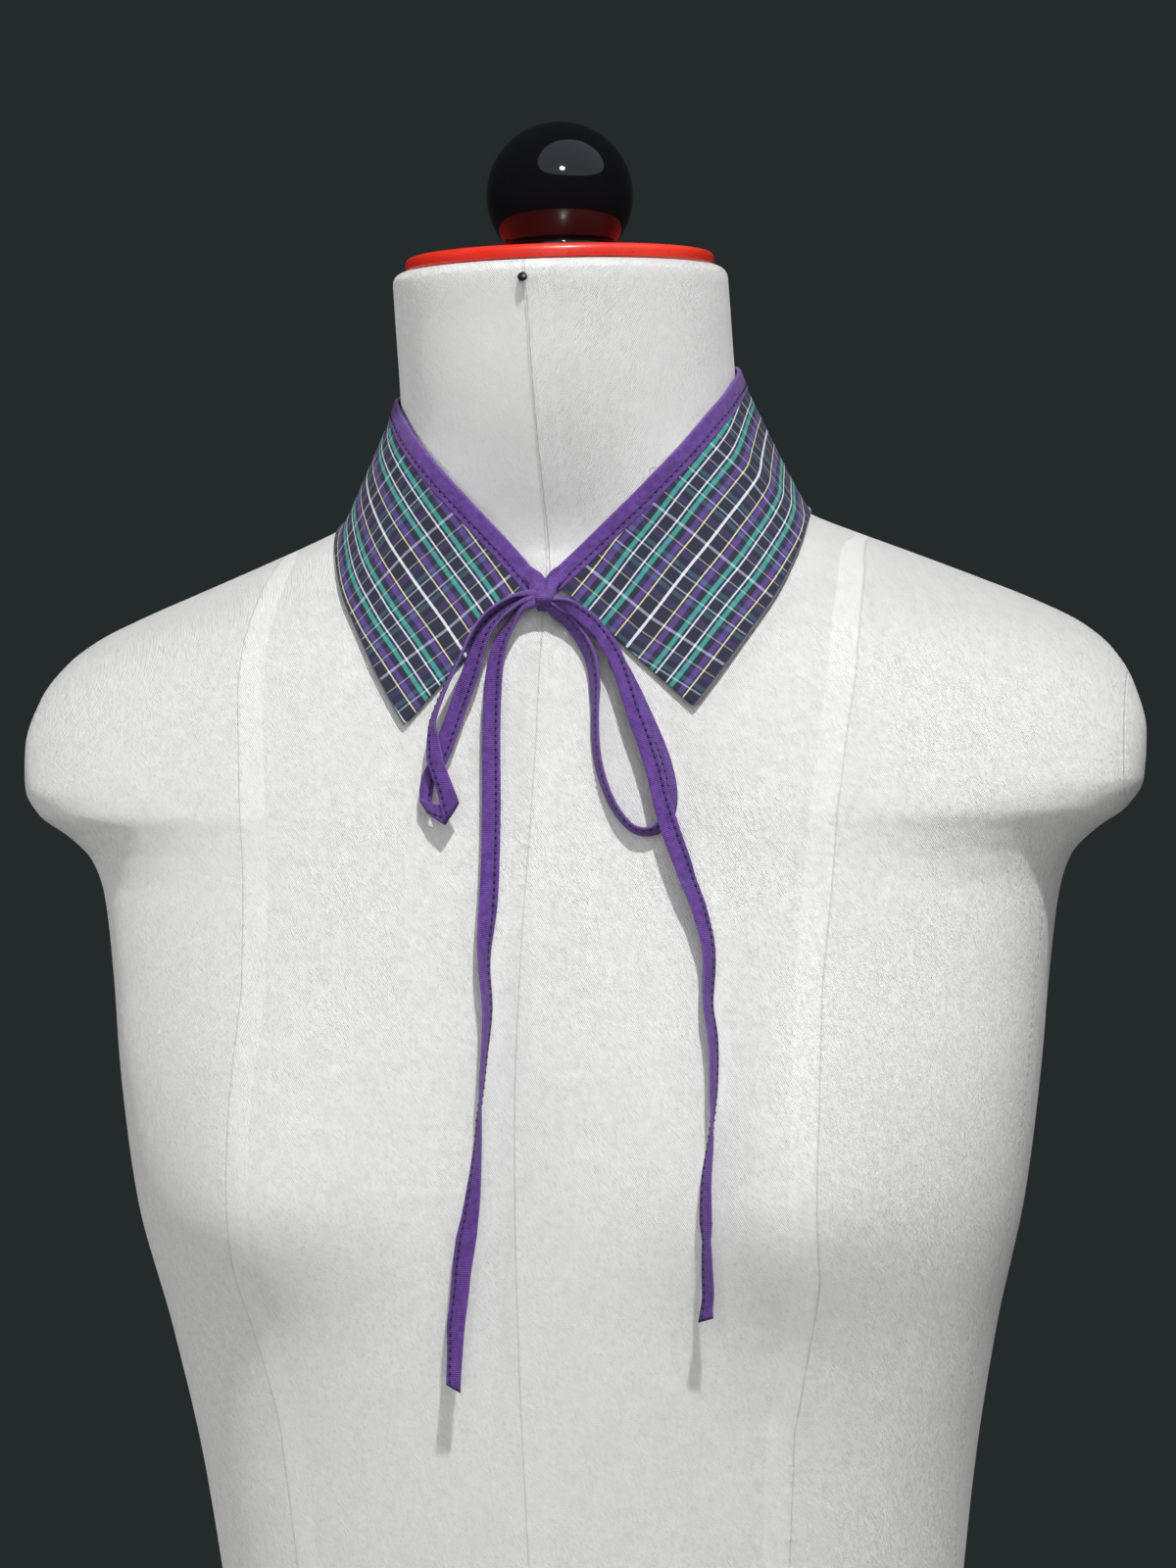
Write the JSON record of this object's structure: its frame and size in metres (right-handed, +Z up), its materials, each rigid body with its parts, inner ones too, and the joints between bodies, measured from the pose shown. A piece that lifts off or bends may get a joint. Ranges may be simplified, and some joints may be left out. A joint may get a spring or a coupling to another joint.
{
  "type": "fabric collar necklace on a limbless dress form",
  "caption": "Pointed check cloth collar worn as a necklace, its bound neck edge tied in a narrow bow, on a limbless dress form with a capped neck and ball knob.",
  "frame": {"origin": "under the middle of the dress form, on the surface that its hip end stands on", "axes": "+Z up, the form faces -Y, and its left side is towards +X"},
  "size_m": [0.3788, 0.2327, 0.7439],
  "materials": {
    "form_cover_white": "white cotton twill cover, stretched smooth",
    "cap_red_gloss": "red gloss",
    "knob_black_gloss": "black gloss",
    "pin_black_gloss": "black gloss",
    "collar_check": "woven navy check shirting, matt",
    "tape_purple": "purple ribbed cotton tape, matt"
  },
  "bodies": {
    "root": {"form_torso": "form_cover_white", "neck_cap": "cap_red_gloss", "neck_knob": "knob_black_gloss", "neck_pin": "pin_black_gloss", "collar_fall": "collar_check", "neck_binding": "tape_purple", "bow_throat": "tape_purple", "bow_knot": "tape_purple", "bow_loop_left": "tape_purple", "bow_loop_right": "tape_purple", "tie_tail_left": "tape_purple", "tie_tail_right": "tape_purple"}
  },
  "joints": []
}
